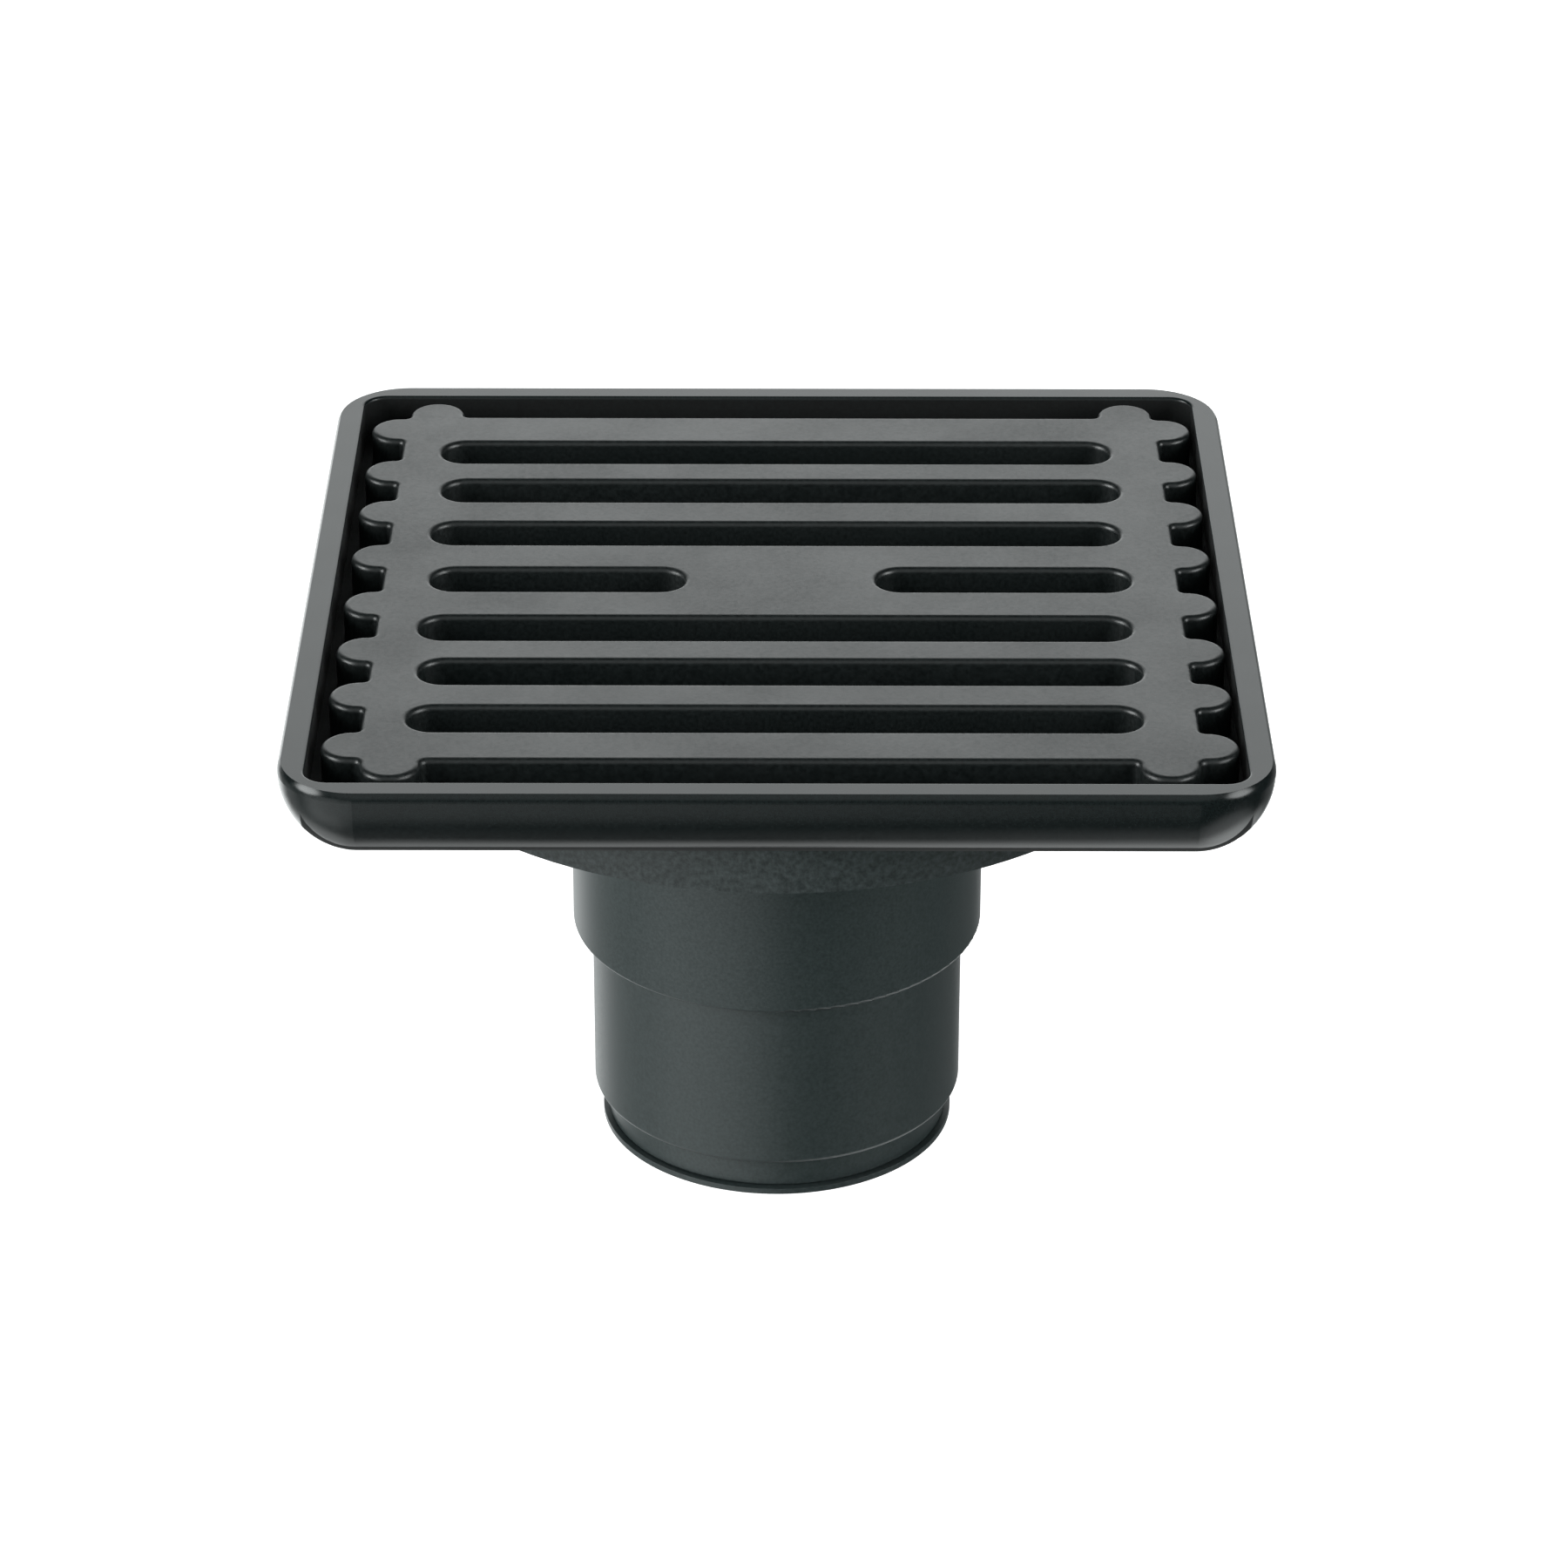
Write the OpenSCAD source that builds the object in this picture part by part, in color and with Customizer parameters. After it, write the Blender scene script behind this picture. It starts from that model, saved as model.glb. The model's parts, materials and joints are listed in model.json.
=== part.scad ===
// Square floor drain: a cast frame with a neck for the waste pipe, a loose cast grate,
// and a drop-in trap core with a spring-closed valve.
// Millimetres, +Z up. The origin is the centre of the closing plate's underside.

/* [Frame] */
// Side of the square frame at its widest
frame_side = 100; // [96:0.5:120]
// Corner radius of the frame, seen from above
frame_corner_r = 8; // [6:0.5:12]
// Width of the flat top of the rim
rim_w = 2.5; // [2:0.1:4]
// How far the rim's outer edge rolls in at the top
rim_roll = 0.4; // [0.2:0.1:0.6]
// Height of that roll
rim_roll_h = 1; // [0.6:0.1:1.4]
// Small round on the rim's inner edge
rim_inner_r = 0.35; // [0.2:0.05:0.6]
// Rim top to the tray's flat underside
tray_h = 9; // [8:0.25:12]
// Radius that carries the side wall round to the underside
skirt_r = 8.7; // [7:0.1:10]
// Corner radius of the well that holds the grate
well_corner_r = 2.5; // [1.5:0.25:4]
// Rim top to the underside of the basin
basin_drop = 14.84; // [13:0.1:20]
// Outer radius of the round basin
basin_r = 43.1; // [38:0.1:46]
// Wall of the basin
basin_wall = 2.8; // [2:0.1:4]
// Thickness of the basin's floor at its inner edge
floor_t = 3.7; // [3.2:0.1:5]
// Fall of the basin's floor towards the outlet
floor_fall = 1; // [0.5:0.1:2]
// Rim top to the end of the neck
neck_drop = 41; // [30:0.5:80]
// Wall of the neck
neck_wall = 1.7; // [1.4:0.1:3]
// Fillet between the basin's underside and the neck
neck_fillet_r = 1; // [0.5:0.1:2]
// Round at the end of the neck
neck_end_r = 0.5; // [0.2:0.1:0.8]

/* [Grate] */
// Thickness of the grate
grate_t = 4; // [3:0.1:6]
// How far the grate's top lies below the rim
grate_sink = 0.1; // [0:0.05:0.5]
// Room beside the bars' ends in the well, left and right together
grate_gap_x = 1.8; // [1.4:0.1:3]
// Room beside the feet in the well, front and back together
grate_gap_y = 2.5; // [1.4:0.1:3]
// Where the grate lies in its well, off the centre, to the right
grate_shift_x = 0.35; // [-0.5:0.05:0.5]
// Where the grate lies in its well, off the centre, to the back
grate_shift_y = -0.15; // [-0.5:0.05:0.5]
// How far the middle of a bar's round end lies past the side rail, which its two fillets fill
tooth_neck = 0.65; // [0.4:0.05:1]
// Radius of the round top edges
grate_edge_r = 0.6; // [0.3:0.1:0.9]
// Width of a bar's round end
tooth_w = 6.2; // [5:0.1:6.6]
// Fillet between a foot and the round end next to it
corner_fillet_r = 0.8; // [0.4:0.1:0.8]
// Corner radius of the plate itself
plate_corner_r = 1.2; // [0.8:0.1:2]
// Radius of the four feet on the front and back edges
foot_r = 3.05; // [2.5:0.05:4]
// Middle of a foot inwards from the side rail's outer face
foot_inset = 3.45; // [3:0.05:6]
// How far the middle of a foot lies past the first or last bar, which its fillet fills
foot_neck = 0.75; // [0.4:0.05:1]

/* [Slots] */
// Number of rows of slots
slot_rows = 7; // [5:2:9]
// Width of a slot
slot_w = 5.4; // [4.5:0.1:6]
// Width of a side rail, from its outer face to the slots
rail_w = 5.15; // [4:0.05:8]
// Width of the first and the last bar
end_bar_w = 6.74; // [5:0.01:8]
// How far every other row is staggered, left and right
slot_stagger = 0.28; // [0:0.01:0.5]
// How far the pattern lies left of the grate's middle
slot_offset_x = 0.3; // [0:0.05:0.5]
// How far the pattern lies in front of the grate's middle
slot_offset_y = 0.36; // [0:0.01:0.5]
// Solid bridge in the middle of the middle row
bridge_w = 20.4; // [10:0.1:30]

/* [Trap core] */
// Outer radius of the core's tube
core_r = 20.3; // [19:0.1:20.5]
// Wall of the tube
core_wall = 2; // [1.8:0.1:2.5]
// Room between the tube and the neck's bore
core_fit = 0.4; // [0.3:0.05:0.5]
// How far the tube sticks out of the neck
core_below = 20.2; // [10:0.1:40]
// Round at the tube's lower end
core_end_r = 0.7; // [0.3:0.1:1]
// How far the flange at the top stands out past the tube
flange_lip = 5.7; // [4:0.1:8]
// Thickness of the flange
flange_t = 1.6; // [1.2:0.1:3]
// Thickness of the rubber seal under the flange
seal_t = 0.8; // [0.5:0.1:1.5]
// Depth of the flange's seat below the basin floor's inner edge
flange_seat = 1.7; // [1.2:0.1:2]
// Room round the flange and its seal in the seat
flange_fit = 0.4; // [0.3:0.1:1]
// Section radius of the O-ring
oring_r = 0.62; // [0.5:0.01:0.7]
// Depth of the O-ring's groove
oring_groove = 0.9; // [0.7:0.05:1]
// Centre of the O-ring above the neck's end
oring_up = 21; // [5:0.5:22]

/* [Seat ring] */
// How far the band lies inside the tube's outer face
band_step = 1.5; // [0.5:0.1:1.8]
// Height of the band
band_h = 3.5; // [2.5:0.1:6]
// Wall of the skirt round the gasket
skirt_w = 1.8; // [1.4:0.1:2.2]
// Width of the seat that the gasket closes on
seat_w = 2.2; // [1.5:0.1:3]
// Height of the spigot inside the core's tube
spigot_h = 6; // [4:0.5:8]
// Room of the spigot, and of the guide, in the tube
push_fit = 0.05; // [0.03:0.01:0.1]

/* [Valve] */
// How far the closing plate stands out past the band
plate_lip = 0.6; // [0.2:0.05:1]
// Thickness of the closing plate
plate_t = 0.7; // [0.6:0.05:1.5]
// Gap between the band and the closed plate
plate_gap = 0.1; // [0.05:0.05:0.5]
// Radius of the plate's middle pad
pad_r = 6; // [5:0.1:8]
// Thickness of the gasket
gasket_t = 1.2; // [1:0.1:2]
// Room round the gasket in the skirt
gasket_fit = 0.4; // [0.2:0.1:0.8]
// Room between the washer on the gasket and the ring's water way
retainer_gap = 3.4; // [2:0.1:6]
// Thickness of that washer
retainer_t = 0.8; // [0.5:0.1:1.5]
// Radius of the stem
stem_r = 1.5; // [1.2:0.05:2]
// How far the stem stands out past its lock nut
stem_out = 0.8; // [0.4:0.1:1.5]
// Radius of the stem's flat head
head_r = 3; // [2.5:0.1:3.5]
// How deep the head lies below the plate's face
head_sink = 0.1; // [0.05:0.05:0.3]
// Running clearance of the stem
stem_fit = 0.06; // [0.03:0.01:0.1]
// Width of the nuts across flats
nut_af = 5.5; // [5:0.1:7]
// Height of the nuts
nut_h = 2.4; // [1.8:0.1:3]
// How far the valve opens
valve_travel = 8; // [4:0.5:8.5]

/* [Guide and spring] */
// Height of the guide's shoulder above the core's lower end
guide_up = 21.7; // [15:0.1:22]
// Height of the guide's ring
guide_h = 4; // [3:0.5:6]
// Step of the shoulder that carries the guide
guide_step = 1; // [0.6:0.1:1.2]
// Wall of the guide's ring
guide_wall = 2; // [1.5:0.1:3]
// Number of arms
guide_arms = 4; // [3:1:6]
// Thickness of an arm
arm_t = 1.8; // [1.2:0.1:3]
// Radius of the guide's hub
hub_r = 4.8; // [4.5:0.1:6]
// Height of the hub
hub_h = 8; // [6:0.5:9]
// Wire radius of the spring
wire_r = 0.4; // [0.3:0.05:0.5]
// Radius of the spring's coil at the middle of the wire
coil_r = 3.4; // [2.8:0.1:3.6]
// Working turns of the spring
coil_turns = 6; // [4:1:6]
// Play left between the spring's turns with the valve fully open
spring_play = 1.6; // [1:0.1:2]
// Radius of the spring cap
cap_r = 4.8; // [4.3:0.1:6]
// Thickness of the spring cap
cap_t = 1.4; // [1:0.1:2]
// Height of the cap's collar inside the spring
collar_h = 2; // [1:0.5:2.5]
// Room between the collar and the spring
collar_fit = 0.3; // [0.2:0.05:0.5]

/* [Strainer] */
// How far the strainer's rim lies on the core, past its bore
strainer_lip = 2.3; // [1.5:0.1:4]
// Thickness of the strainer
strainer_t = 1.2; // [1:0.1:1.5]
// How far the strainer's plate drops into the core
strainer_drop = 0.8; // [0.5:0.1:1]
// Radius of a hole
strainer_hole_r = 1.15; // [0.8:0.05:1.3]
// Rings of holes
strainer_rings = 3; // [2:1:3]
// Distance between rings
strainer_pitch = 4.6; // [4:0.1:5]
// Radius of the finger knob
knob_r = 2.2; // [1.5:0.1:2.5]
// Height of the knob above the strainer's rim
knob_h = 0.4; // [0.2:0.1:0.5]

/* [Hidden] */
$fn = 72;

// How far every row of slots lies off the even pitch, back to front, as the casting came out
slot_error = [0, 0.66, 0.53, -0.1, -0.93, -0.26, 0];
// Cutters run this far past a face
over = 1;
// Steps of the spring's wire round its section and in one turn
wire_sides = 8;
turn_steps = 24;

core_end_z = plate_t + plate_gap + band_h;
neck_end_z = core_end_z + core_below;
rim_z = neck_end_z + neck_drop;
tray_z = rim_z - tray_h;
basin_z = rim_z - basin_drop;
floor_z = basin_z + floor_t;
flange_seat_z = floor_z - flange_seat;
flange_r = core_r + flange_lip;
seal_r = flange_r - flange_fit;
neck_bore_r = core_r + core_fit;
neck_r = neck_bore_r + neck_wall;
basin_in_r = basin_r - basin_wall;
well_half = frame_side / 2 - rim_roll - rim_w;
ledge_z = rim_z - grate_sink - grate_t;

slot_r = slot_w / 2;
tooth_r = tooth_w / 2;
grate_len = 2 * well_half - grate_gap_x;
rail_span = grate_len - 2 * (tooth_r + tooth_neck);
feet_len = 2 * well_half - grate_gap_y;
bars_span = feet_len - 2 * (foot_r + foot_neck);
foot_x = rail_span / 2 - foot_inset;
slot_len = rail_span - 2 * rail_w;
slot_pitch = (bars_span - slot_w - 2 * end_bar_w) / (slot_rows - 1);

core_bore_r = core_r - core_wall;
lower_bore_r = core_bore_r - guide_step;
flange_z = flange_seat_z + seal_t;
core_top_z = flange_z + flange_t;
groove_z = neck_end_z + oring_up;
guide_z = core_end_z + guide_up;
hub_top_z = guide_z + hub_h - guide_h / 2;

band_r = core_r - band_step;
plate_r = band_r + plate_lip;
skirt_in_r = band_r - skirt_w;
gasket_r = skirt_in_r - gasket_fit;
seat_bore_r = gasket_r - seat_w;
retainer_r = seat_bore_r - retainer_gap;
seat_z = plate_t + gasket_t;
spring_len = (coil_turns + 2) * 2 * wire_r + valve_travel + spring_play;
cap_z = hub_top_z + spring_len;
stem_len = cap_z + cap_t + nut_h + stem_out - head_sink;

function slot_y(i) = ((slot_rows - 1) / 2 - i) * slot_pitch - slot_offset_y
    + (i < len(slot_error) ? slot_error[i] : 0);

// Bars lie midway between rows of slots, and the outer two fill the space to the ends
function bar_y(i) =
    i == 0 ? (slot_y(0) + slot_r + bars_span / 2) / 2
    : i == slot_rows ? (slot_y(slot_rows - 1) - slot_r - bars_span / 2) / 2
    : (slot_y(i - 1) + slot_y(i)) / 2;

// Half section of a block with a quarter round on its top edge
module round_top_half(reach, h, r) {
    square([reach - r, h]);
    square([reach, h - r]);
    translate([reach - r, h - r]) intersection() {
        circle(r);
        square(r);
    }
}

// Half section of a cutter whose mouth flares by a quarter round of radius r
module flared_half(reach, h, r) {
    square([reach, h + over]);
    difference() {
        translate([0, h - r]) square([reach + r, r + over]);
        translate([reach + r, h - r]) circle(r);
    }
}

// Sweeps a half section round a rectangle with round corners: children(0) is the section drawn
// out to half_x, children(1) out to half_y and children(2) out to the corner radius
module rounded_block(half_x, half_y, corner_r) {
    translate([0, half_y - corner_r, 0]) rotate([90, 0, 0]) linear_extrude(2 * (half_y - corner_r)) {
        children(0);
        mirror([1, 0]) children(0);
    }
    translate([-(half_x - corner_r), 0, 0]) rotate([90, 0, 90]) linear_extrude(2 * (half_x - corner_r)) {
        children(1);
        mirror([1, 0]) children(1);
    }
    for (sx = [-1, 1], sy = [-1, 1])
        translate([sx * (half_x - corner_r), sy * (half_y - corner_r), 0])
            rotate_extrude() children(2);
}

// A bar along X with round ends, swept from a half section
module round_bar(length, r) {
    translate([-(length / 2 - r), 0, 0]) rotate([90, 0, 90]) linear_extrude(length - 2 * r) {
        children(0);
        mirror([1, 0]) children(0);
    }
    for (s = [-1, 1]) translate([s * (length / 2 - r), 0, 0]) rotate_extrude() children(0);
}

// Section of the frame's side: a small roll at the rim and the large round under it
module frame_half(reach) {
    roll_r = (rim_roll * rim_roll + rim_roll_h * rim_roll_h) / (2 * rim_roll);
    turn_z = tray_h - rim_roll_h;
    intersection() {
        translate([reach - roll_r, turn_z]) circle(roll_r);
        translate([0, turn_z]) square([reach, rim_roll_h]);
    }
    translate([0, turn_z]) square([max(reach - roll_r, 0.01), rim_roll_h]);
    intersection() {
        translate([reach - skirt_r, turn_z]) circle(skirt_r, $fn = 144);
        square([reach, turn_z]);
    }
    square([max(reach - skirt_r, 0.01), turn_z]);
}

module frame_well() {
    depth = rim_z - ledge_z;
    translate([0, 0, ledge_z]) rounded_block(well_half, well_half, well_corner_r) {
        flared_half(well_half, depth, rim_inner_r);
        flared_half(well_half, depth, rim_inner_r);
        flared_half(well_corner_r, depth, rim_inner_r);
    }
}

// Inside of the basin and neck, as a half section
module frame_bore_half() {
    translate([0, neck_end_z - over]) square([neck_bore_r, ledge_z - neck_end_z + over]);
    translate([0, flange_seat_z]) square([flange_r + flange_fit, ledge_z - flange_seat_z]);
    polygon([
        [0, floor_z], [flange_r + flange_fit, floor_z], [basin_in_r, floor_z + floor_fall],
        [basin_in_r, ledge_z + over], [0, ledge_z + over]
    ]);
}

// Outside of the basin and neck, as a half section
module frame_spout_half() {
    translate([0, basin_z]) square([basin_r, tray_z - basin_z + over]);
    translate([0, neck_end_z]) square([neck_r - neck_end_r, basin_z - neck_end_z + over]);
    translate([0, neck_end_z + neck_end_r]) square([neck_r, basin_z - neck_end_z]);
    translate([neck_r - neck_end_r, neck_end_z + neck_end_r]) circle(neck_end_r);
    difference() {
        translate([0, basin_z - neck_fillet_r]) square([neck_r + neck_fillet_r, neck_fillet_r + over]);
        translate([neck_r + neck_fillet_r, basin_z - neck_fillet_r]) circle(neck_fillet_r);
    }
}

module frame() {
    half = frame_side / 2;
    color("#3a3f3f") difference() {
        union() {
            translate([0, 0, tray_z]) rounded_block(half, half, frame_corner_r) {
                frame_half(half);
                frame_half(half);
                frame_half(frame_corner_r);
            }
            rotate_extrude($fn = 144) frame_spout_half();
        }
        frame_well();
        rotate_extrude($fn = 144) frame_bore_half();
    }
}

// A slot with round ends and round top edges
module slot_cutter(length) {
    translate([0, 0, -over]) round_bar(length, slot_r) flared_half(slot_r, grate_t + over, grate_edge_r);
}

module slot_row(i) {
    middle = i == (slot_rows - 1) / 2;
    stagger = i % 2 == 0 ? -slot_stagger : slot_stagger;
    part_len = (slot_len - bridge_w) / 2;
    translate([stagger - slot_offset_x, slot_y(i), 0]) {
        if (middle) for (s = [-1, 1]) translate([s * (bridge_w + part_len) / 2, 0, 0]) slot_cutter(part_len);
        else slot_cutter(slot_len);
    }
}

// A round end with its round top edge, and the neck that joins it to the plate
module round_end(centre, r, turn) {
    translate(centre) {
        rotate_extrude() round_top_half(r, grate_t, grate_edge_r);
        rotate([0, 0, turn]) translate([-r, 0, 0]) rotate([90, 0, 90]) linear_extrude(r) {
            round_top_half(r, grate_t, grate_edge_r);
            mirror([1, 0]) round_top_half(r, grate_t, grate_edge_r);
        }
    }
}

// The fillet in an inner corner of the outline, where solid lies below x = 0 and below y = 0
module inner_fillet(r) {
    difference() {
        translate([-grate_edge_r, -grate_edge_r, 0]) cube([r + grate_edge_r, r + grate_edge_r, grate_t]);
        translate([r, r, -over]) rotate_extrude($fn = 36) flared_half(r, grate_t + over, grate_edge_r);
    }
}

module grate() {
    plate_x = rail_span / 2;
    plate_y = bars_span / 2;
    end_x = grate_len / 2 - tooth_r;
    foot_y = feet_len / 2 - foot_r;
    color("#6b6f6f") translate([grate_shift_x, grate_shift_y, ledge_z]) difference() {
        union() {
            rounded_block(plate_x, plate_y, plate_corner_r) {
                round_top_half(plate_x, grate_t, grate_edge_r);
                round_top_half(plate_y, grate_t, grate_edge_r);
                round_top_half(plate_corner_r, grate_t, grate_edge_r);
            }
            for (side = [0, 1]) mirror([side, 0, 0]) {
                for (i = [0:slot_rows]) round_end([end_x, bar_y(i), 0], tooth_r, 0);
                for (i = [0:slot_rows - 1]) {
                    translate([plate_x, bar_y(i) - tooth_r, 0]) mirror([0, 1, 0]) inner_fillet(tooth_neck);
                    translate([plate_x, bar_y(i + 1) + tooth_r, 0]) inner_fillet(tooth_neck);
                }
                for (front = [0, 1]) mirror([0, front, 0]) {
                    round_end([foot_x, foot_y, 0], foot_r, 90);
                    translate([foot_x - foot_r, plate_y, 0]) mirror([1, 0, 0]) inner_fillet(foot_neck);
                    translate([foot_x + foot_r, abs(bar_y(front * slot_rows)) + tooth_r, 0])
                        inner_fillet(corner_fillet_r);
                }
            }
        }
        for (i = [0:slot_rows - 1]) slot_row(i);
    }
}

module hair_strainer() {
    plate_z = core_top_z - strainer_drop;
    color("#2b2e2e") difference() {
        union() {
            translate([0, 0, core_top_z]) cylinder(h = strainer_t, r = core_bore_r + strainer_lip);
            translate([0, 0, plate_z]) cylinder(h = strainer_drop + over / 2, r = core_bore_r - core_fit);
            translate([0, 0, plate_z]) cylinder(h = strainer_drop + strainer_t + knob_h, r = knob_r);
        }
        difference() {
            translate([0, 0, plate_z + strainer_t])
                cylinder(h = strainer_drop + over, r = core_bore_r - core_fit - strainer_t);
            cylinder(h = rim_z, r = knob_r);
        }
        for (ring = [1:strainer_rings], k = [0:6 * ring - 1])
            rotate([0, 0, k * 60 / ring]) translate([ring * strainer_pitch, 0, plate_z - over])
                cylinder(h = strainer_drop + strainer_t + 2 * over, r = strainer_hole_r, $fn = 24);
    }
}

module core_body() {
    tube_h = flange_z - core_end_z;
    color("#303434") rotate_extrude($fn = 144) difference() {
        union() {
            translate([0, core_end_z]) square([core_r - core_end_r, tube_h + flange_t]);
            translate([0, core_end_z + core_end_r]) square([core_r, tube_h - core_end_r + flange_t]);
            translate([core_r - core_end_r, core_end_z + core_end_r]) circle(core_end_r);
            translate([0, flange_z]) square([flange_r, flange_t]);
        }
        translate([0, core_end_z - over]) square([lower_bore_r, tube_h + flange_t + 2 * over]);
        translate([0, guide_z]) square([core_bore_r, rim_z]);
        translate([core_r - oring_groove, groove_z - oring_groove]) square([core_r, 2 * oring_groove]);
    }
}

module flange_seal() {
    color("#1c1c1c") translate([0, 0, flange_seat_z]) difference() {
        cylinder(h = seal_t, r = seal_r);
        translate([0, 0, -over]) cylinder(h = seal_t + 2 * over, r = neck_bore_r);
    }
}

module core_oring() {
    ring_r = core_r - oring_groove + oring_r;
    color("#1c1c1c") translate([0, 0, groove_z]) rotate_extrude() translate([ring_r, 0]) circle(oring_r, $fn = 24);
}

module guide_spider() {
    ring_r = core_bore_r - push_fit;
    ring_in_r = ring_r - guide_wall;
    hub_z = hub_top_z - hub_h;
    color("#454a4a") difference() {
        union() {
            translate([0, 0, guide_z]) difference() {
                cylinder(h = guide_h, r = ring_r);
                translate([0, 0, -over]) cylinder(h = guide_h + 2 * over, r = ring_in_r);
            }
            for (k = [0:guide_arms - 1]) rotate([0, 0, k * 360 / guide_arms])
                translate([0, -arm_t / 2, guide_z]) cube([ring_in_r + push_fit, arm_t, guide_h]);
            translate([0, 0, hub_z]) cylinder(h = hub_h, r = hub_r);
        }
        translate([0, 0, hub_z - over]) cylinder(h = hub_h + 2 * over, r = stem_r + stem_fit);
    }
}

module seat_ring() {
    band_z = plate_t + plate_gap;
    color("#303434") difference() {
        union() {
            translate([0, 0, band_z]) cylinder(h = band_h, r = band_r);
            translate([0, 0, core_end_z]) cylinder(h = spigot_h, r = lower_bore_r - push_fit);
        }
        translate([0, 0, band_z - over]) cylinder(h = band_h + spigot_h + 2 * over, r = seat_bore_r);
        translate([0, 0, band_z - over]) cylinder(h = seat_z - band_z + over, r = skirt_in_r);
    }
}

// The spring: flat end turns and working turns between them
function spring_z(turn) =
    turn < 1 ? turn * 2 * wire_r
    : turn > coil_turns + 1 ? spring_len - 2 * wire_r - (coil_turns + 2 - turn) * 2 * wire_r
    : 2 * wire_r + (turn - 1) * (spring_len - 6 * wire_r) / coil_turns;

module return_spring() {
    rings = (coil_turns + 2) * turn_steps;
    points = [
        for (k = [0:rings], j = [0:wire_sides - 1])
            let (turn = k / turn_steps, a = 360 * turn, b = 360 * (j + 0.5) / wire_sides)
            [
                (coil_r + wire_r * cos(b)) * cos(a), (coil_r + wire_r * cos(b)) * sin(a),
                hub_top_z + wire_r + spring_z(turn) + wire_r * sin(b)
            ]
    ];
    sides = [
        for (k = [0:rings - 1], j = [0:wire_sides - 1])
            let (n = (j + 1) % wire_sides)
            [k * wire_sides + j, k * wire_sides + n, (k + 1) * wire_sides + n, (k + 1) * wire_sides + j]
    ];
    ends = [
        [for (j = [0:wire_sides - 1]) wire_sides - 1 - j],
        [for (j = [0:wire_sides - 1]) rings * wire_sides + j]
    ];
    color("silver") polyhedron(points = points, faces = concat(sides, ends));
}

module valve_plate() {
    head_h = head_r - stem_r;
    color("#303434") difference() {
        union() {
            cylinder(h = plate_t, r = plate_r);
            cylinder(h = seat_z - stem_fit, r = pad_r);
        }
        translate([0, 0, -over]) cylinder(h = seat_z + 2 * over, r = stem_r + stem_fit);
        translate([0, 0, -over]) cylinder(h = over + head_sink, r = head_r + stem_fit);
        translate([0, 0, head_sink]) cylinder(h = head_h, r1 = head_r + stem_fit, r2 = stem_r + stem_fit);
    }
}

module valve_gasket() {
    color("#1c1c1c") translate([0, 0, plate_t]) difference() {
        cylinder(h = gasket_t, r = gasket_r);
        translate([0, 0, -over]) cylinder(h = gasket_t + 2 * over, r = pad_r + push_fit);
    }
}

module gasket_retainer() {
    color("silver") translate([0, 0, seat_z]) difference() {
        cylinder(h = retainer_t, r = retainer_r);
        translate([0, 0, -over]) cylinder(h = retainer_t + 2 * over, r = stem_r + stem_fit);
    }
}

module stem_nut(z) {
    translate([0, 0, z]) difference() {
        cylinder(h = nut_h, r = nut_af / 2 / cos(30), $fn = 6);
        translate([0, 0, -over]) cylinder(h = nut_h + 2 * over, r = stem_r + stem_fit / 2);
    }
}

module plate_nut() {
    color("silver") stem_nut(seat_z + retainer_t);
}

module valve_stem() {
    color("silver") {
        translate([0, 0, head_sink]) cylinder(h = head_r - stem_r, r1 = head_r, r2 = stem_r);
        translate([0, 0, head_sink]) cylinder(h = stem_len, r = stem_r);
    }
}

module spring_cap() {
    color("#454a4a") difference() {
        union() {
            translate([0, 0, cap_z]) cylinder(h = cap_t, r = cap_r);
            translate([0, 0, cap_z - collar_h]) cylinder(h = collar_h, r = coil_r - wire_r - collar_fit);
        }
        translate([0, 0, cap_z - collar_h - over])
            cylinder(h = collar_h + cap_t + 2 * over, r = stem_r + stem_fit);
    }
}

module stem_locknut() {
    color("silver") stem_nut(cap_z + cap_t);
}

frame();
grate();
hair_strainer();
core_body();
flange_seal();
core_oring();
guide_spider();
seat_ring();
return_spring();
valve_plate();
valve_gasket();
gasket_retainer();
plate_nut();
valve_stem();
spring_cap();
stem_locknut();
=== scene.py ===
import json
import math

import bmesh
import bpy
from mathutils import Matrix, Vector


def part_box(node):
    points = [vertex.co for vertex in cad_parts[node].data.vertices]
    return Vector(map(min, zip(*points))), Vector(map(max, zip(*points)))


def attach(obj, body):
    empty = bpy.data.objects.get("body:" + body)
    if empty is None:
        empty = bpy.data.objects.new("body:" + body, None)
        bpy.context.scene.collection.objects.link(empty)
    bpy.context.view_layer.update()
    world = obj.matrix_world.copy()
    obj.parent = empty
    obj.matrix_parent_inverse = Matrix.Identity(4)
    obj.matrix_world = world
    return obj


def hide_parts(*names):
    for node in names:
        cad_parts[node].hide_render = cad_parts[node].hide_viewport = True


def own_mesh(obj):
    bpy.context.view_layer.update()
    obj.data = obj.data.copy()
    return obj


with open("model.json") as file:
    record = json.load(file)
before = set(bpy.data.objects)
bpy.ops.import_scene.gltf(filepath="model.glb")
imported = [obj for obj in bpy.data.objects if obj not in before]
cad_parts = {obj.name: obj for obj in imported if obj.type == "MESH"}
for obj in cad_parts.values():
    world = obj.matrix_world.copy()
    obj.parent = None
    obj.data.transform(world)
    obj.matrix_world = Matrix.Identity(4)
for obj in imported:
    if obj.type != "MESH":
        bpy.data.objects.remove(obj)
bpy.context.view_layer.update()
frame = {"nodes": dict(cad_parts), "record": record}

MM = 0.001
NODES = frame["nodes"]
RECORD = frame["record"]

# Camera of the photograph, found from the frame's straight edges
CAMERA_PLACE = (0.65, -529.02)
CAMERA_ABOVE_RIM = 254.54
CAMERA_PITCH = 27.86
CAMERA_YAW = 0.01
CAMERA_ROLL = 0.10
CAMERA_LENS = 126.19


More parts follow.
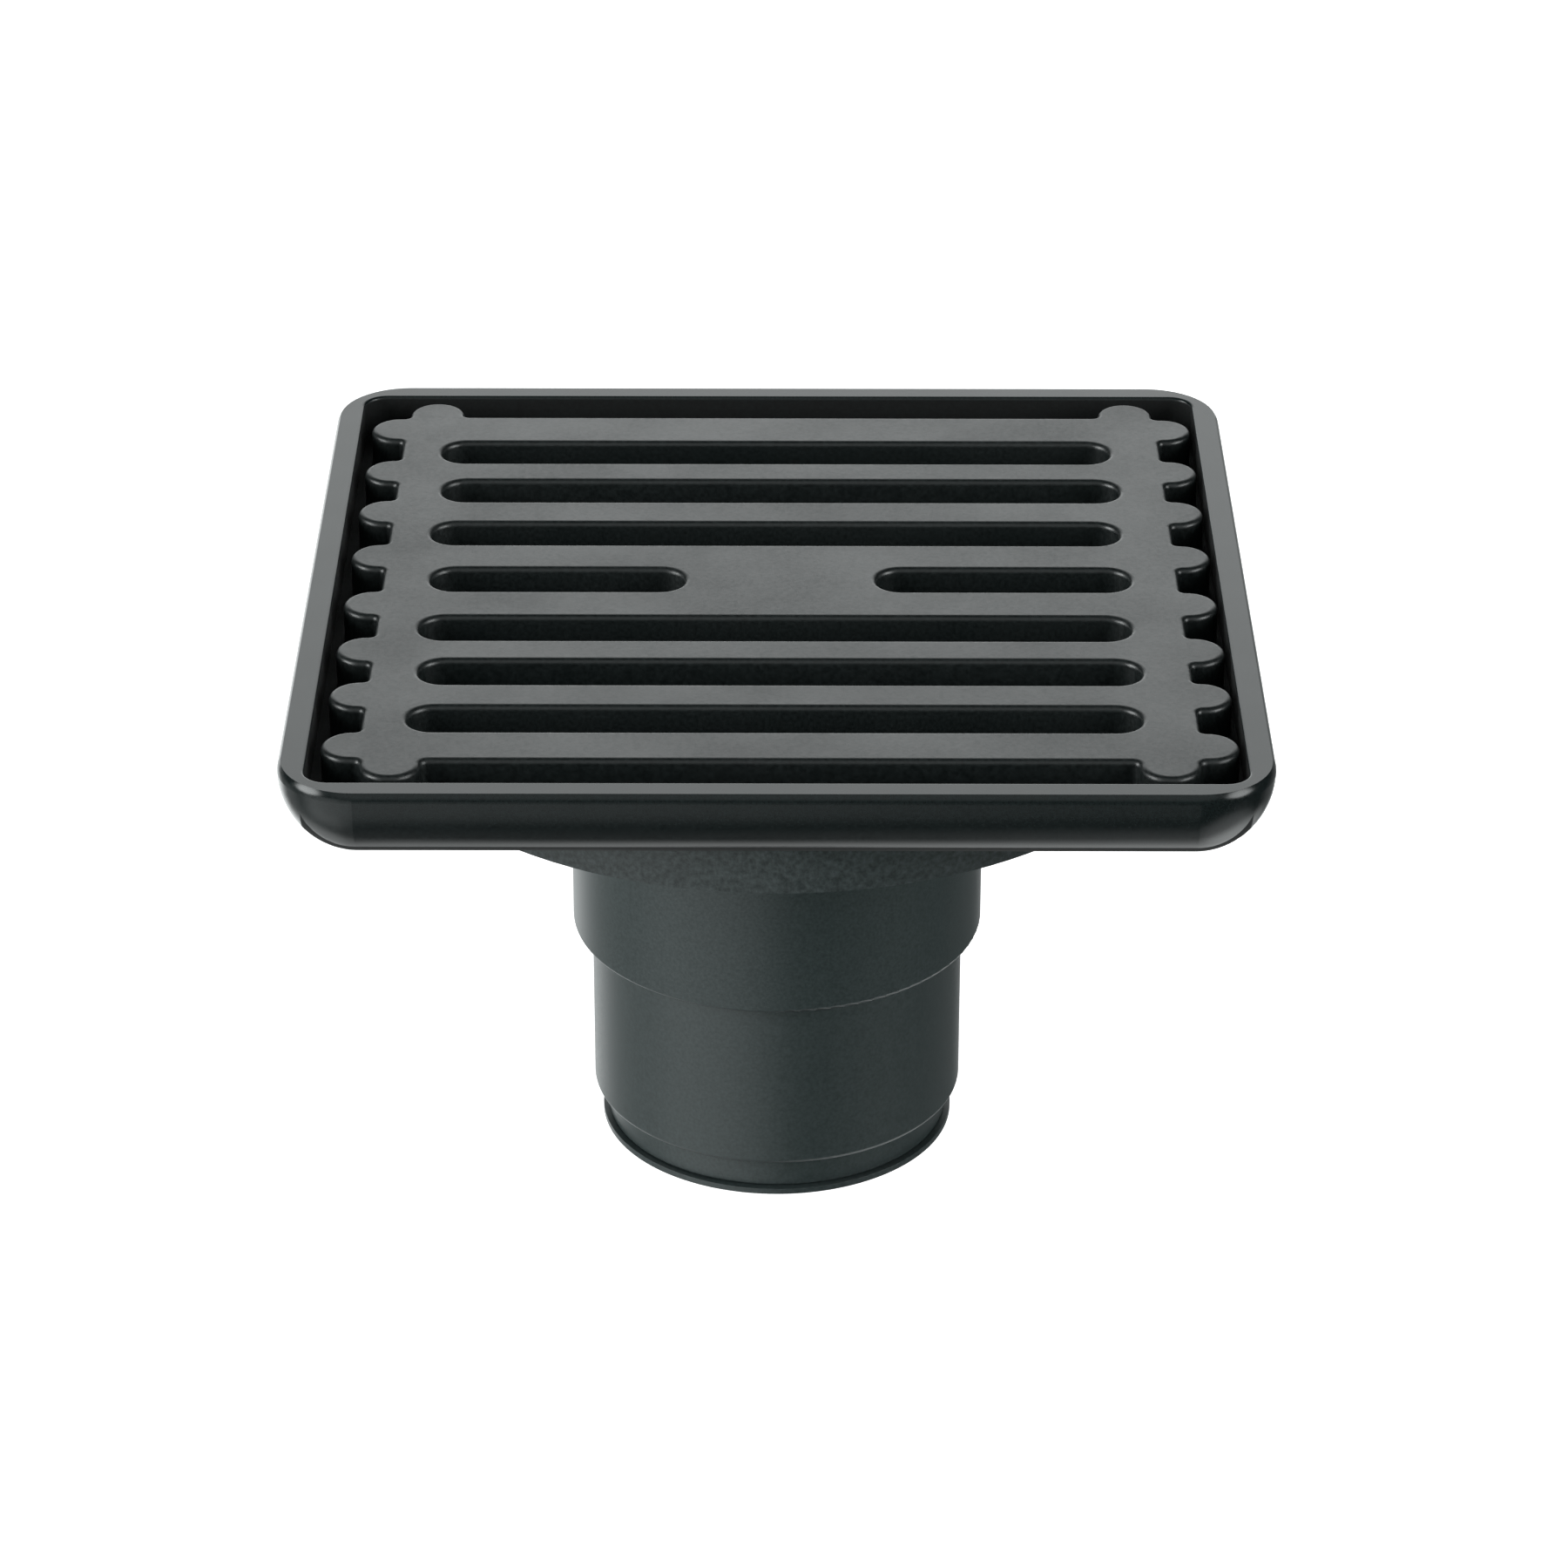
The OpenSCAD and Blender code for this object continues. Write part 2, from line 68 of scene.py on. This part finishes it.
def mount(name):
    return next(m for m in RECORD["mounts"] if m["name"] == name)


# Levels and radii of the object in millimetres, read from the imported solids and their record
RIM_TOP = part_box("frame")[1].z / MM
TRAY_UNDERSIDE = mount("tray_underside")["pos_m"][2] / MM
NECK_R = mount("neck")["dims"]["r_mm"]
RIM_WIDTH = 2.9
WELL_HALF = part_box("frame")[1].x / MM - RIM_WIDTH
STEM_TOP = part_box("valve_stem")[1].z / MM
VALVE_TRAVEL = RECORD["behaviour"]["joints"][0]["range_m"][1] / MM
SPRING_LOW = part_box("return_spring")[0].z / MM
SPRING_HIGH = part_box("return_spring")[1].z / MM
SPRING_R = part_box("return_spring")[1].x / MM

# How a copied solid is cleaned: points this near (mm) are one, faces within the first angle are one flat
# face, edges past the second are rounded, and edges past the third are shaded as sharp
MERGE_WITHIN = 0.0005
FLAT_WITHIN, SHARP_PAST, SHADED_SHARP_PAST = (math.radians(a) for a in (0.3, 38, 42))


def colour(hex_code):
    """sRGB hex to the linear colour that the shader wants."""
    parts = [int(hex_code[i:i + 2], 16) / 255 for i in (1, 3, 5)]
    return (*(c / 12.92 if c <= 0.04045 else ((c + 0.055) / 1.055) ** 2.4 for c in parts), 1)


def add_node(tree, kind, settings=None, **links):
    """Adds a node with its settings and links. An input is named with underscores for spaces, or i0, i1. It
    takes a value, a socket or a node, which stands for the first output that it has in use."""
    node = tree.nodes.new(kind)
    for name, value in (settings or {}).items():
        setattr(node, name, value)
    for name, value in links.items():
        socket = node.inputs[int(name[1:]) if name[1:].isdigit() else name.replace("_", " ")]
        if isinstance(value, bpy.types.Node):
            value = next(output for output in value.outputs if output.enabled)
        if isinstance(value, bpy.types.NodeSocket):
            tree.links.new(value, socket)
        else:
            socket.default_value = value
    return node


def camera():
    pitch, yaw, roll = (math.radians(a) for a in (CAMERA_PITCH, CAMERA_YAW, CAMERA_ROLL))
    ahead = Vector((math.sin(yaw) * math.cos(pitch), math.cos(yaw) * math.cos(pitch), -math.sin(pitch)))
    level = Vector((math.cos(yaw), -math.sin(yaw), 0))
    above = level.cross(ahead)
    right = math.cos(roll) * level + math.sin(roll) * above
    up = math.cos(roll) * above - math.sin(roll) * level
    place = Vector((*CAMERA_PLACE, RIM_TOP + CAMERA_ABOVE_RIM)) * MM
    data = bpy.data.cameras.new("camera")
    data.lens = CAMERA_LENS
    data.clip_start = 0.01
    data.clip_end = 20
    view = bpy.data.objects.new("camera", data)
    view.matrix_world = Matrix.Translation(place) @ Matrix((right, up, -ahead)).transposed().to_4x4()
    bpy.context.scene.collection.objects.link(view)
    bpy.context.scene.camera = view


def studio_floor():
    """A plain white table that glows a little, so that hardly a shadow shows on it. It lies just below the
    opened valve, which drops through the level that the drain stands on."""
    half_side_m, clear_of_valve = 4, 0.2
    table_z = -(VALVE_TRAVEL + clear_of_valve)
    bm = bmesh.new()
    bmesh.ops.create_grid(bm, x_segments=1, y_segments=1, size=half_side_m,
                          matrix=Matrix.Translation((0, 0, table_z * MM)))
    mesh = bpy.data.meshes.new("floor")
    bm.to_mesh(mesh)
    bm.free()
    material = bpy.data.materials.new("white_table")
    material.use_nodes = True
    shader = material.node_tree.nodes["Principled BSDF"]
    shader.inputs["Base Color"].default_value = colour("#f4f4f4")
    shader.inputs["Roughness"].default_value = 0.9
    shader.inputs["Emission Color"].default_value = (1, 1, 1, 1)
    shader.inputs["Emission Strength"].default_value = 0.9
    mesh.materials.append(material)
    floor = bpy.data.objects.new("floor", mesh)
    bpy.context.scene.collection.objects.link(floor)
    # The object mirrors the softboxes and not the table, as over a dark sweep
    floor.visible_glossy = False
    floor.visible_diffuse = False


# The studio as the object sees it, in degrees: azimuth from the back over the left, elevation, half width of
# the softbox and half width of its soft edge; and last its brightness
SOFTBOXES = (
    (0, 18, 24, 14, 1.7),
    (108, 17, 16, 8, 8.6),
    (-118, 17, 16, 8, 6.4),
    (140, -28, 25, 20, 1.1),
    (95, -25, 22, 15, 0.3),
    (50, -25, 22, 15, 0.38),
    (15, -25, 25, 15, 1.6),
    (-30, -25, 25, 15, 0.2),
    (48, -62, 14, 12, 0.9),
    (-48, -62, 16, 12, 1.3),
    (105, -62, 18, 12, 0.35),
    (-105, -62, 18, 12, 0.9),
    (180, 40, 26, 16, 0.45),
)
ROOM_LIGHT = 0.01


def studio_light():
    """Soft light from all round, brightest at the two sides. The camera sees plain white."""
    world = bpy.data.worlds.new("studio")
    bpy.context.scene.world = world
    world.use_nodes = True
    tree = world.node_tree
    tree.nodes.clear()
    way = add_node(tree, "ShaderNodeTexCoord").outputs["Generated"]
    total = ROOM_LIGHT
    for azimuth, elevation, width, edge, strength in SOFTBOXES:
        turn, rise = math.radians(azimuth), math.radians(elevation)
        axis = (-math.sin(turn) * math.cos(rise), math.cos(turn) * math.cos(rise), math.sin(rise))
        toward = add_node(tree, "ShaderNodeVectorMath", {"operation": "DOT_PRODUCT"}, i0=way, i1=axis)
        patch = add_node(
            tree, "ShaderNodeMapRange", {"interpolation_type": "SMOOTHSTEP"},
            Value=toward, From_Min=math.cos(math.radians(width + edge)),
            From_Max=math.cos(math.radians(width - edge)), To_Max=strength)
        total = add_node(tree, "ShaderNodeMath", {"operation": "ADD"}, i0=total, i1=patch)
    lit = add_node(tree, "ShaderNodeBackground", Color=colour("#fbffff"), Strength=total)
    plain = add_node(tree, "ShaderNodeBackground", Color=(1, 1, 1, 1), Strength=1.0)
    seen = add_node(tree, "ShaderNodeLightPath").outputs["Is Camera Ray"]
    mixed = add_node(tree, "ShaderNodeMixShader", i0=seen, i1=lit, i2=plain)
    add_node(tree, "ShaderNodeOutputWorld", Surface=mixed)


def per_metre(millimetres):
    """Scale of a pattern on Object coordinates whose features are this wide."""
    return 1 / (millimetres * MM)


def new_material(name, roughness, ior=1.5, metallic=0.0):
    """A material with its shader's constants set, and its tree, shader and Object coordinates."""
    material = bpy.data.materials.new(name)
    material.use_nodes = True
    tree = material.node_tree
    shader = tree.nodes["Principled BSDF"]
    shader.inputs["Roughness"].default_value = roughness
    shader.inputs["IOR"].default_value = ior
    shader.inputs["Metallic"].default_value = metallic
    return material, tree, shader, add_node(tree, "ShaderNodeTexCoord").outputs["Object"]


def frame_coat():
    """Brass cast in sand and sprayed satin black. The rim is smoothed and shines softly; the basin keeps the
    sand's rough skin; the neck is turned and sprayed dry, so it is paler and duller. On the walls of the well
    the colour is painted shade: near black, and dull, where little light gets in."""
    material, tree, shader, place = new_material("sprayed_cast_brass", 0.18, ior=1.46)

    # How far a point lies from the axis, how far it lies towards the nearest side, and its height
    flat = add_node(tree, "ShaderNodeVectorMath", {"operation": "MULTIPLY"}, i0=place, i1=(1, 1, 0))
    reach = add_node(tree, "ShaderNodeVectorMath", {"operation": "LENGTH"}, i0=flat)
    split = add_node(tree, "ShaderNodeSeparateXYZ", Vector=place).outputs
    across = add_node(tree, "ShaderNodeMath", {"operation": "ABSOLUTE"}, i0=split["X"])
    along = add_node(tree, "ShaderNodeMath", {"operation": "ABSOLUTE"}, i0=split["Y"])
    side = add_node(tree, "ShaderNodeMath", {"operation": "MAXIMUM"}, i0=across, i1=along)
    height = split["Z"]

    # The three zones that differ from the rim, basin skin, neck and well, each with a narrow soft border
    below_tray = add_node(tree, "ShaderNodeMapRange", Value=height, From_Min=(TRAY_UNDERSIDE + 0.05) * MM,
                          From_Max=(TRAY_UNDERSIDE - 0.05) * MM)
    off_neck = add_node(tree, "ShaderNodeMapRange", Value=reach, From_Min=(NECK_R + 0.6) * MM,
                        From_Max=(NECK_R + 1.0) * MM)
    below_rim = add_node(tree, "ShaderNodeMapRange", Value=height, From_Min=(RIM_TOP - 0.15) * MM,
                         From_Max=(RIM_TOP - 0.4) * MM)
    in_wall = add_node(tree, "ShaderNodeMapRange", Value=side, From_Min=(WELL_HALF + 0.4) * MM,
                       From_Max=(WELL_HALF + 0.2) * MM)
    in_tray = add_node(tree, "ShaderNodeMath", {"operation": "SUBTRACT"}, i0=in_wall, i1=below_tray)
    skin = add_node(tree, "ShaderNodeMath", {"operation": "MULTIPLY"}, i0=below_tray, i1=off_neck)
    neck = add_node(tree, "ShaderNodeMath", {"operation": "SUBTRACT"}, i0=below_tray, i1=skin)
    # The well's walls, where shade is painted into the colour
    shaded_well = add_node(tree, "ShaderNodeMath", {"operation": "MULTIPLY"}, i0=below_rim, i1=in_tray)

    # Spray grain is a tenth of this; drawn at 0.35 mm so that it shows
    grain = add_node(tree, "ShaderNodeTexNoise", Vector=place, Scale=per_metre(0.35), Detail=3.0,
                     Roughness=0.65)
    # Grains of the moulding sand
    sand = add_node(tree, "ShaderNodeTexNoise", Vector=place, Scale=per_metre(0.55), Detail=3.0,
                    Roughness=0.6)
    # Slow waves left by hand grinding
    waves = add_node(tree, "ShaderNodeTexNoise", Vector=place, Scale=per_metre(11.0), Detail=1.0,
                     Roughness=0.55)

    speckle = add_node(tree, "ShaderNodeMapRange", Value=grain, From_Min=0.3, From_Max=0.7)
    pitted = add_node(tree, "ShaderNodeMapRange", Value=sand, From_Min=0.3, From_Max=0.75)
    smooth = add_node(tree, "ShaderNodeMix", {"data_type": "RGBA"}, i0=speckle, i6=colour("#151b1b"),
                      i7=colour("#1e2525"))
    dry = add_node(tree, "ShaderNodeMix", {"data_type": "RGBA"}, i0=speckle, i6=colour("#262f2f"),
                   i7=colour("#384141"))
    rough = add_node(tree, "ShaderNodeMix", {"data_type": "RGBA"}, i0=pitted, i6=colour("#232a2a"),
                     i7=colour("#454d4d"))
    # Painted shade: the well's walls are coloured near black for the shade that falls in the narrow well
    # around the grate
    painted_well_shade = add_node(tree, "ShaderNodeMix", {"data_type": "RGBA"}, i0=pitted, i6=colour("#060808"),
                    i7=colour("#0e1212"))
    tone = add_node(tree, "ShaderNodeMix", {"data_type": "RGBA"}, i0=neck, i6=smooth, i7=dry)
    tone = add_node(tree, "ShaderNodeMix", {"data_type": "RGBA"}, i0=skin, i6=tone, i7=rough)
    tone = add_node(tree, "ShaderNodeMix", {"data_type": "RGBA"}, i0=shaded_well, i6=tone, i7=painted_well_shade)
    tree.links.new(tone.outputs[2], shader.inputs["Base Color"])

    # The rim is the glossiest; each zone adds its own dullness
    dull = add_node(tree, "ShaderNodeMapRange", Value=grain, From_Min=0.3, From_Max=0.7, To_Min=0.15,
                    To_Max=0.21)
    dull = add_node(tree, "ShaderNodeMath", {"operation": "MULTIPLY_ADD"}, i0=neck, i1=0.22, i2=dull)
    dull = add_node(tree, "ShaderNodeMath", {"operation": "MULTIPLY_ADD"}, i0=skin, i1=0.26, i2=dull)
    dull = add_node(tree, "ShaderNodeMath", {"operation": "MULTIPLY_ADD"}, i0=shaded_well, i1=0.72, i2=dull)
    tree.links.new(dull.outputs[0], shader.inputs["Roughness"])

    gritty = add_node(tree, "ShaderNodeMath", {"operation": "MULTIPLY"}, i0=sand, i1=skin)
    bump = add_node(tree, "ShaderNodeBump", Distance=0.05 * MM, Height=waves)
    bump = add_node(tree, "ShaderNodeBump", Distance=0.002 * MM, Height=grain, Normal=bump)
    bump = add_node(tree, "ShaderNodeBump", Distance=0.05 * MM, Height=gritty, Normal=bump)
    tree.links.new(bump.outputs[0], shader.inputs["Normal"])
    return material


def grate_coat():
    """The same casting and spray on the grate, a little duller, for it is trodden on."""
    material, tree, shader, place = new_material("sprayed_cast_brass_grate", 0.4, ior=1.62)
    # Spray grain is a tenth of this; drawn at 0.4 mm so that it shows
    grain = add_node(tree, "ShaderNodeTexNoise", Vector=place, Scale=per_metre(0.4), Detail=3.0,
                     Roughness=0.65)
    # Faint cloudy patches of the sprayed coat
    clouds = add_node(tree, "ShaderNodeTexNoise", Vector=place, Scale=per_metre(14.0), Detail=2.0,
                      Roughness=0.55)
    # Slow waves left by hand grinding
    waves = add_node(tree, "ShaderNodeTexNoise", Vector=place, Scale=per_metre(7.0), Detail=1.0,
                     Roughness=0.55)
    speckle = add_node(tree, "ShaderNodeMapRange", Value=grain, From_Min=0.35, From_Max=0.7)
    tone = add_node(tree, "ShaderNodeMix", {"data_type": "RGBA"}, i0=speckle, i6=colour("#0f1414"),
                    i7=colour("#1d2323"))
    tree.links.new(tone.outputs[2], shader.inputs["Base Color"])
    cloudy = add_node(tree, "ShaderNodeMapRange", Value=clouds, From_Min=0.3, From_Max=0.7, To_Min=0.31,
                      To_Max=0.39)
    dull = add_node(tree, "ShaderNodeMath", {"operation": "MULTIPLY_ADD"}, i0=speckle, i1=0.1, i2=cloudy)
    tree.links.new(dull.outputs[0], shader.inputs["Roughness"])
    bump = add_node(tree, "ShaderNodeBump", Distance=0.03 * MM, Height=waves)
    bump = add_node(tree, "ShaderNodeBump", Distance=0.007 * MM, Height=grain, Normal=bump)
    tree.links.new(bump.outputs[0], shader.inputs["Normal"])
    return material


def moulded_plastic(name, dark, light, roughness):
    """ABS or acetal from a finely sparked mould: an even satin tone with a soft, slightly peeled shine."""
    # The sparks' pits are a tenth of this; drawn at 0.38 mm so that they show
    material, tree, shader, place = new_material(name, roughness, ior=1.53)
    grain = add_node(tree, "ShaderNodeTexNoise", Vector=place, Scale=per_metre(0.38), Detail=3.0,
                     Roughness=0.6)
    peel = add_node(tree, "ShaderNodeTexNoise", Vector=place, Scale=per_metre(3.0), Detail=1.0,
                    Roughness=0.55)
    speckle = add_node(tree, "ShaderNodeMapRange", Value=grain, From_Min=0.3, From_Max=0.7)
    tone = add_node(tree, "ShaderNodeMix", {"data_type": "RGBA"}, i0=speckle, i6=colour(dark),
                    i7=colour(light))
    tree.links.new(tone.outputs[2], shader.inputs["Base Color"])
    dull = add_node(tree, "ShaderNodeMath", {"operation": "MULTIPLY_ADD"}, i0=speckle, i1=0.08,
                    i2=roughness - 0.04)
    tree.links.new(dull.outputs[0], shader.inputs["Roughness"])
    bump = add_node(tree, "ShaderNodeBump", Distance=0.008 * MM, Height=peel)
    bump = add_node(tree, "ShaderNodeBump", Distance=0.004 * MM, Height=grain, Normal=bump)
    tree.links.new(bump.outputs[0], shader.inputs["Normal"])
    return material


def rubber(name, dark, light):
    """Nitrile rubber, moulded and talc-dusted: dull black, a little patchy."""
    material, tree, shader, place = new_material(name, 0.62, ior=1.52)
    dust = add_node(tree, "ShaderNodeTexNoise", Vector=place, Scale=per_metre(1.6), Detail=4.0,
                    Roughness=0.55)
    pores = add_node(tree, "ShaderNodeTexNoise", Vector=place, Scale=per_metre(0.3), Detail=2.0,
                     Roughness=0.55)
    patchy = add_node(tree, "ShaderNodeMapRange", Value=dust, From_Min=0.35, From_Max=0.7)
    tone = add_node(tree, "ShaderNodeMix", {"data_type": "RGBA"}, i0=patchy, i6=colour(dark),
                    i7=colour(light))
    tree.links.new(tone.outputs[2], shader.inputs["Base Color"])
    dull = add_node(tree, "ShaderNodeMath", {"operation": "MULTIPLY_ADD"}, i0=patchy, i1=0.17, i2=0.55)
    tree.links.new(dull.outputs[0], shader.inputs["Roughness"])
    bump = add_node(tree, "ShaderNodeBump", Distance=0.006 * MM, Height=pores)
    tree.links.new(bump.outputs[0], shader.inputs["Normal"])
    return material


def steel(name, roughness, lines):
    """Stainless steel: pale grey metal with fine marks of turning, rolling or drawing round the axis."""
    material, tree, shader, place = new_material(name, roughness, metallic=1.0)
    shader.inputs["Base Color"].default_value = colour("#b9b8b3")
    # The marks run round the axis, so the pattern is squeezed along it; lines is their spacing in mm
    squeeze = 12
    squeezed = add_node(tree, "ShaderNodeMapping", Vector=place, Scale=(1, 1, squeeze))
    marks = add_node(tree, "ShaderNodeTexNoise", Vector=squeezed, Scale=per_metre(lines * squeeze),
                     Detail=3.0, Roughness=0.7)
    dull = add_node(tree, "ShaderNodeMapRange", Value=marks, From_Min=0.3, From_Max=0.7,
                    To_Min=roughness - 0.06, To_Max=roughness + 0.08)
    tree.links.new(dull.outputs[0], shader.inputs["Roughness"])
    bump = add_node(tree, "ShaderNodeBump", Distance=0.004 * MM, Height=marks)
    tree.links.new(bump.outputs[0], shader.inputs["Normal"])
    return material


def dress(node, material):
    """Puts a material on every slot of a CAD node that stays."""
    slots = NODES[node].data.materials
    for i in range(len(slots)):
        slots[i] = material


def placed(bm, name, node, material, body):
    """Makes a finished piece of the mesh, which stands for a CAD node. The node's own normals are left out,
    because they don't fit the changed mesh."""
    bmesh.ops.recalc_face_normals(bm, faces=bm.faces)
    for face in bm.faces:
        face.smooth = True
    mesh = bpy.data.meshes.new(name)
    bm.to_mesh(mesh)
    bm.free()
    for spare in [a for a in mesh.attributes if a.name == "custom_normal"]:
        mesh.attributes.remove(spare)
    mesh.materials.clear()
    mesh.materials.append(material)
    mesh.set_sharp_from_angle(angle=SHADED_SHARP_PAST)
    piece = bpy.data.objects.new(name, mesh)
    bpy.context.scene.collection.objects.link(piece)
    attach(piece, body)
    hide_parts(node)
    return piece


def softened(name, node, material, width, body="drain"):
    """A CAD solid with its sharp edges rounded by this many millimetres, as a mould or a file leaves them."""
    bm = bmesh.new()
    bm.from_mesh(NODES[node].data)
    bmesh.ops.remove_doubles(bm, verts=bm.verts, dist=MERGE_WITHIN * MM)
    bmesh.ops.dissolve_limit(bm, angle_limit=FLAT_WITHIN, verts=bm.verts, edges=bm.edges)
    sharp = [e for e in bm.edges if len(e.link_faces) == 2 and e.calc_face_angle() > SHARP_PAST]
    bmesh.ops.bevel(bm, geom=sharp, offset=width * MM, offset_type="OFFSET", affect="EDGES", segments=2,
                    profile=0.5, clamp_overlap=True, material=-1)
    piece = placed(bm, name, node, material, body)
    weighted = piece.modifiers.new("flat_faces", "WEIGHTED_NORMAL")
    weighted.keep_sharp = True


def wound_spring(material):
    """The return spring in round wire: a closed end turn, six open turns and another closed turn."""
    wire_r, wire_sides, turn_steps, open_turns = 0.4, 14, 40, 6
    coil_r = SPRING_R - wire_r
    closed_rise = 2 * wire_r
    # The two closed turns and the wire's own thickness take a wire each
    open_rise = SPRING_HIGH - SPRING_LOW - 3 * closed_rise
    bm = bmesh.new()
    start = Matrix.Translation(Vector((coil_r, 0, SPRING_LOW + wire_r)) * MM) @ Matrix.Rotation(
        math.radians(90), 4, "X")
    loop = bmesh.ops.create_circle(bm, segments=wire_sides, radius=wire_r * MM, matrix=start)["verts"]
    ends = list({e for v in loop for e in v.link_edges})
    for turns, rise in ((1, closed_rise), (open_turns, open_rise), (1, closed_rise)):
        steps = turns * turn_steps
        geom = list({v for e in ends for v in e.verts}) + ends
        spun = bmesh.ops.spin(bm, geom=geom, cent=(0, 0, 0), axis=(0, 0, 1), dvec=(0, 0, rise * MM / steps),
                              angle=math.radians(360 * turns), steps=steps, use_merge=False)
        ends = [g for g in spun["geom_last"] if isinstance(g, bmesh.types.BMEdge)]
    bmesh.ops.holes_fill(bm, edges=[e for e in bm.edges if e.is_boundary])
    piece = placed(bm, "return_spring_wire", "return_spring", material, "drain")
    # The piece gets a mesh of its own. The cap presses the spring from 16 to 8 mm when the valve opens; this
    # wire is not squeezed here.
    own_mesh(piece)


def lofted(bm, rings, sides):
    """Grows a closed solid through rings of (radius, height, corners) in millimetres; corners 0 is round."""
    made = bmesh.ops.create_circle(bm, segments=sides, radius=MM)["verts"]
    edges = list({e for v in made for e in v.link_edges})
    bmesh.ops.edgenet_fill(bm, edges=edges)
    for i, (radius, height, corners) in enumerate(rings):
        if i > 0:
            grown = bmesh.ops.extrude_edge_only(bm, edges=edges)["geom"]
            made = {g for g in grown if isinstance(g, bmesh.types.BMVert)}
            edges = [g for g in grown if isinstance(g, bmesh.types.BMEdge) and made.issuperset(g.verts)]
        for v in made:
            around = math.atan2(v.co.y, v.co.x)
            reach = radius
            if corners:
                step = 2 * math.pi / corners
                reach *= math.cos(step / 2) / math.cos(around % step - step / 2)
            v.co = Vector((reach * math.cos(around), reach * math.sin(around), height)) * MM
    bmesh.ops.edgenet_fill(bm, edges=edges)


def threaded_stem(material):
    """The long countersunk screw: a hexagon socket in its head and a rolled thread along the shaft."""
    head_z, head_r, head_edge, head_depth = 0.1, 3.0, 0.08, 1.5
    socket_floor_r, socket_mouth_r, socket_depth = 1.1, 1.25, 1.0
    shaft_r, core_r, undercut_z, point_z, point_r = 1.5, 1.3, 1.8, 0.4, 1.0
    pitch, root_r, thread_z, plain_end = 0.6, 1.27, 2.2, 1.0
    sides, turn_steps = 48, 20
    bm = bmesh.new()
    lofted(bm, (
        (socket_floor_r, head_z + socket_depth, 6),
        (socket_mouth_r, head_z, 6),
        (head_r - head_edge, head_z, 0),
        (head_r, head_z + head_edge, 0),
        (shaft_r, head_z + head_depth, 0),
        (core_r, head_z + undercut_z, 0),
        (core_r, STEM_TOP - point_z, 0),
        (point_r, STEM_TOP, 0)), sides)
    turns = int((STEM_TOP - plain_end - head_z - thread_z) / pitch)
    ridge = [bm.verts.new(Vector((r, 0, head_z + thread_z + rise)) * MM)
             for r, rise in ((root_r, 0), (shaft_r, pitch * 0.45), (root_r, pitch * 0.9))]
    face = bm.faces.new(ridge)
    bmesh.ops.spin(bm, geom=[face, *face.edges, *ridge], cent=(0, 0, 0), axis=(0, 0, 1),
                   dvec=(0, 0, pitch * MM / turn_steps), angle=2 * math.pi * turns,
                   steps=turns * turn_steps, use_merge=False)
    bmesh.ops.holes_fill(bm, edges=[e for e in bm.edges if e.is_boundary])
    placed(bm, "valve_stem_screw", "valve_stem", material, "valve")


camera()
studio_floor()
studio_light()
bpy.context.scene.view_settings.view_transform = "Standard"

frame_spray = frame_coat()
grate_spray = grate_coat()
tube_abs = moulded_plastic("satin_moulded_abs", "#262f2f", "#353e3e", 0.42)
inner_abs = moulded_plastic("black_moulded_abs", "#141818", "#1b2020", 0.45)
guide_acetal = moulded_plastic("grey_moulded_acetal", "#343938", "#3d4241", 0.38)
sealing_rubber = rubber("nitrile_rubber", "#0d0e0e", "#1b1c1b")
turned_steel = steel("turned_stainless_steel", 0.3, 0.12)
drawn_steel = steel("drawn_stainless_wire", 0.26, 0.2)

dress("frame", frame_spray)
dress("grate", grate_spray)
dress("core_oring", sealing_rubber)
softened("strainer_disc", "hair_strainer", inner_abs, 0.15)
softened("core_tube", "core_body", tube_abs, 0.25)
softened("flange_seal_ring", "flange_seal", sealing_rubber, 0.12)
softened("guide_spider_moulding", "guide_spider", guide_acetal, 0.2)
softened("seat_band", "seat_ring", tube_abs, 0.22)
softened("closing_plate", "valve_plate", tube_abs, 0.18, "valve")
softened("plate_gasket", "valve_gasket", sealing_rubber, 0.15, "valve")
softened("gasket_washer", "gasket_retainer", turned_steel, 0.1, "valve")
softened("lower_nut", "plate_nut", turned_steel, 0.22, "valve")
softened("upper_nut", "stem_locknut", turned_steel, 0.22, "valve")
softened("cap_moulding", "spring_cap", guide_acetal, 0.15, "valve")
threaded_stem(turned_steel)
wound_spring(drawn_steel)
